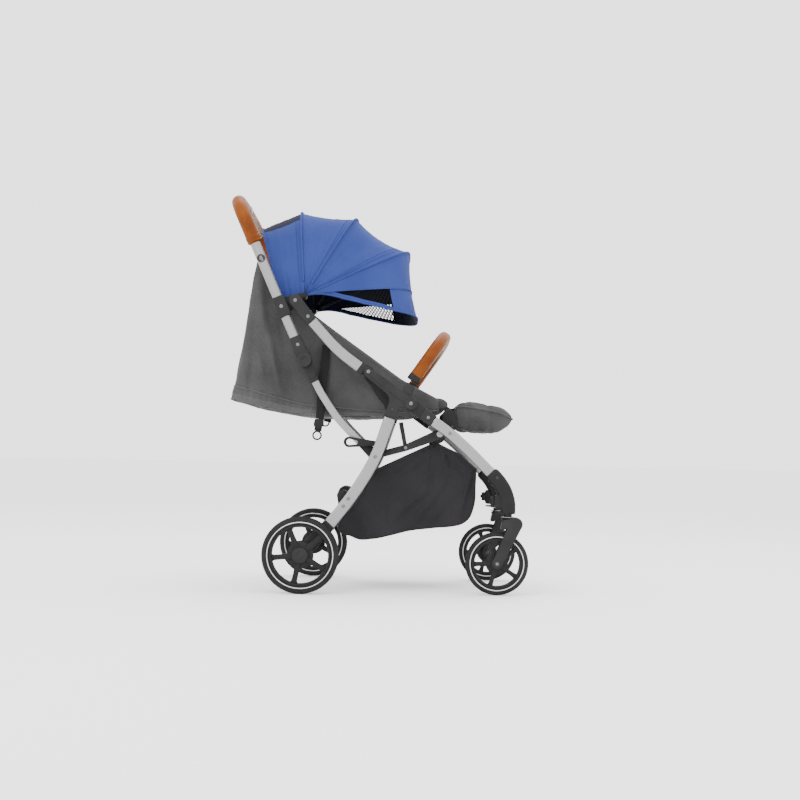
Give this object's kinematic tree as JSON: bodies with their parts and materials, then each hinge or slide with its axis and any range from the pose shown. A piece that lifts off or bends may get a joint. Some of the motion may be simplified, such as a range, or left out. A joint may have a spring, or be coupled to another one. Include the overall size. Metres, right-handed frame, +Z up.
{
  "type": "baby stroller",
  "caption": "Compact folding baby stroller with a reclining seat, blue canopy, leather handle and bumper bar, swivelling front wheels and a basket.",
  "frame": {"origin": "on the floor, under the middle of the bounding box", "axes": "+X towards the front of the stroller, +Y to its left, +Z up"},
  "size_m": [0.749, 0.528, 0.9853],
  "materials": {
    "silver_tube": "satin anodised tube",
    "charcoal_plastic": "dark grey moulded plastic, fine texture",
    "black_plastic": "black moulded plastic",
    "black_steel": "black painted flat bar",
    "tyre_rubber": "black foam rubber",
    "tan_leather": "tan stitched leather",
    "grey_fabric": "grey woven fabric",
    "black_fabric": "black woven fabric",
    "blue_fabric": "blue woven canopy fabric"
  },
  "bodies": {
    "chassis": {"hub_bracket_r": "charcoal_plastic", "hub_bracket_l": "charcoal_plastic", "rear_leg_r": "silver_tube", "rear_leg_l": "silver_tube", "axle_housing_r": "black_plastic", "axle_housing_l": "black_plastic", "rear_crossbar": "black_plastic", "basket": "black_fabric", "seat_pad": "grey_fabric", "seat_shell": "grey_fabric"},
    "front_frame": {"front_knuckle_r": "charcoal_plastic", "front_knuckle_l": "charcoal_plastic", "front_leg_r": "silver_tube", "front_leg_l": "silver_tube", "front_knee_r": "black_plastic", "front_knee_l": "black_plastic", "front_crossbar": "silver_tube"},
    "castor_r": {"castor_fork_r": "black_plastic"},
    "castor_l": {"castor_fork_l": "black_plastic"},
    "front_wheel_r": {"front_rim_r": "black_plastic", "front_tyre_r": "tyre_rubber"},
    "front_wheel_l": {"front_rim_l": "black_plastic", "front_tyre_l": "tyre_rubber"},
    "rear_wheel_r": {"rear_rim_r": "black_plastic", "rear_tyre_r": "tyre_rubber"},
    "rear_wheel_l": {"rear_rim_l": "black_plastic", "rear_tyre_l": "tyre_rubber"},
    "castor_lock_r": {"castor_lock_r": "black_plastic"},
    "castor_lock_l": {"castor_lock_l": "black_plastic"},
    "side_frame": {"side_tube_r": "silver_tube", "side_tube_l": "silver_tube", "side_housing_r": "charcoal_plastic", "side_housing_l": "charcoal_plastic"},
    "handle": {"handle_tube": "silver_tube", "handle_grip": "tan_leather", "handle_bracket_r": "charcoal_plastic", "handle_bracket_l": "charcoal_plastic", "upper_hinge_r": "charcoal_plastic", "upper_hinge_l": "charcoal_plastic", "canopy_rear_panel": "blue_fabric"},
    "fold_button": {"fold_button": "silver_tube"},
    "lower_frame": {"lower_tube_r": "silver_tube", "lower_tube_l": "silver_tube", "lower_hinge_r": "charcoal_plastic", "lower_hinge_l": "charcoal_plastic"},
    "brace_rear": {"brace_rear_r": "black_steel", "brace_rear_l": "black_steel"},
    "brace_front": {"brace_front_r": "black_steel", "brace_front_l": "black_steel"},
    "brake": {"brake_pedal": "black_plastic"},
    "backrest": {"backrest": "grey_fabric"},
    "legrest": {"legrest": "grey_fabric"},
    "bumper": {"bumper_bar": "tan_leather"},
    "latch": {"fold_latch": "black_plastic"},
    "bow_1": {"canopy_bow_1": "black_steel", "canopy_middle_panel": "blue_fabric"},
    "bow_2": {"canopy_bow_2": "black_steel", "canopy_front_panel": "blue_fabric"},
    "bow_3": {"canopy_bow_3": "black_steel", "canopy_visor": "blue_fabric"}
  },
  "joints": [
    {"name": "fold", "type": "hinge", "parent": "chassis", "child": "side_frame", "pos_m": [-0.0197, 0, 0.5404], "axis": [0, -1, 0], "range_deg": [0, 72], "deforming": ["seat_shell"]},
    {"name": "handle_fold", "type": "hinge", "parent": "side_frame", "child": "handle", "pos_m": [-0.2004, 0, 0.7108], "axis": [0, -1, 0], "range_deg": [-101.82, 0]},
    {"name": "lower_fold", "type": "hinge", "parent": "chassis", "child": "lower_frame", "pos_m": [-0.0025, 0, 0.3339], "axis": [0, -1, 0], "range_deg": [0, 63.22]},
    {"name": "front_fold", "type": "hinge", "parent": "chassis", "child": "front_frame", "pos_m": [0.0848, 0, 0.4646], "axis": [0, -1, 0], "range_deg": [-58, 0]},
    {"name": "brace_rear_fold", "type": "hinge", "parent": "chassis", "child": "brace_rear", "pos_m": [0.012, 0, 0.34], "axis": [0, -1, 0], "range_deg": [-87.36, 0]},
    {"name": "brace_front_fold", "type": "hinge", "parent": "front_frame", "child": "brace_front", "pos_m": [0.1573, 0, 0.3922], "axis": [0, -1, 0], "range_deg": [0, 106.09]},
    {"name": "canopy_bow_1_fold", "type": "hinge", "parent": "handle", "child": "bow_1", "pos_m": [-0.1815, 0, 0.7262], "axis": [0, -1, 0], "range_deg": [0, 26], "deforming": ["canopy_rear_panel", "canopy_middle_panel"]},
    {"name": "canopy_bow_2_fold", "type": "hinge", "parent": "bow_1", "child": "bow_2", "pos_m": [-0.1815, 0, 0.7262], "axis": [0, -1, 0], "range_deg": [0, 32], "deforming": ["canopy_front_panel", "canopy_visor"]},
    {"name": "canopy_front", "type": "hinge", "parent": "bow_2", "child": "bow_3", "pos_m": [-0.1815, 0, 0.7262], "axis": [0, -1, 0], "range_deg": [0, 28]},
    {"name": "castor_swivel_r", "type": "hinge", "parent": "front_frame", "child": "castor_r", "pos_m": [0.327, -0.2035, 0.19], "axis": [0, 0, 1], "continuous": true},
    {"name": "front_wheel_spin_r", "type": "hinge", "parent": "castor_r", "child": "front_wheel_r", "pos_m": [0.3015, -0.2035, 0.0772], "axis": [0, 1, 0], "continuous": true},
    {"name": "rear_wheel_spin_r", "type": "hinge", "parent": "chassis", "child": "rear_wheel_r", "pos_m": [-0.1769, -0.252, 0.0935], "axis": [0, 1, 0], "continuous": true},
    {"name": "castor_lock_slide_r", "type": "slide", "parent": "front_frame", "child": "castor_lock_r", "axis": [0, 0, -1], "range_m": [0, 0.006]},
    {"name": "castor_swivel_l", "type": "hinge", "parent": "front_frame", "child": "castor_l", "pos_m": [0.327, 0.2035, 0.19], "axis": [0, 0, 1], "continuous": true},
    {"name": "front_wheel_spin_l", "type": "hinge", "parent": "castor_l", "child": "front_wheel_l", "pos_m": [0.3015, 0.2035, 0.0772], "axis": [0, 1, 0], "continuous": true},
    {"name": "rear_wheel_spin_l", "type": "hinge", "parent": "chassis", "child": "rear_wheel_l", "pos_m": [-0.1769, 0.252, 0.0935], "axis": [0, 1, 0], "continuous": true},
    {"name": "castor_lock_slide_l", "type": "slide", "parent": "front_frame", "child": "castor_lock_l", "axis": [0, 0, -1], "range_m": [0, 0.006]},
    {"name": "fold_button_press", "type": "slide", "parent": "handle", "child": "fold_button", "axis": [-1, 0, 0], "range_m": [0, 0.002], "stiffness_N_per_m": 600},
    {"name": "brake_press", "type": "hinge", "parent": "chassis", "child": "brake", "pos_m": [-0.079, 0, 0.238], "axis": [0, -1, 0], "range_deg": [0, 18]},
    {"name": "recline", "type": "hinge", "parent": "chassis", "child": "backrest", "pos_m": [-0.004, 0, 0.447], "axis": [0, -1, 0], "range_deg": [-48, 0]},
    {"name": "legrest_drop", "type": "hinge", "parent": "chassis", "child": "legrest", "pos_m": [0.1885, 0, 0.412], "axis": [0, 1, 0], "range_deg": [0, 50]},
    {"name": "bumper_release", "type": "slide", "parent": "chassis", "child": "bumper", "axis": [0.565, 0, 0.8251], "range_m": [0, 0.035]},
    {"name": "latch_swing", "type": "hinge", "parent": "chassis", "child": "latch", "pos_m": [0.002, -0.2055, 0.366], "axis": [0, -1, 0], "range_deg": [-30, 0]}
  ],
  "couplings": [
    {"joint": "handle_fold", "follows": "fold", "ratio": -1.4142},
    {"joint": "lower_fold", "follows": "fold", "ratio": 0.87799},
    {"joint": "front_fold", "follows": "fold", "ratio": -0.80556},
    {"joint": "brace_rear_fold", "follows": "fold", "ratio": -1.2133},
    {"joint": "brace_front_fold", "follows": "fold", "ratio": 1.4734},
    {"joint": "canopy_bow_1_fold", "follows": "fold", "ratio": 0.36111},
    {"joint": "canopy_bow_2_fold", "follows": "fold", "ratio": 0.44444}
  ]
}
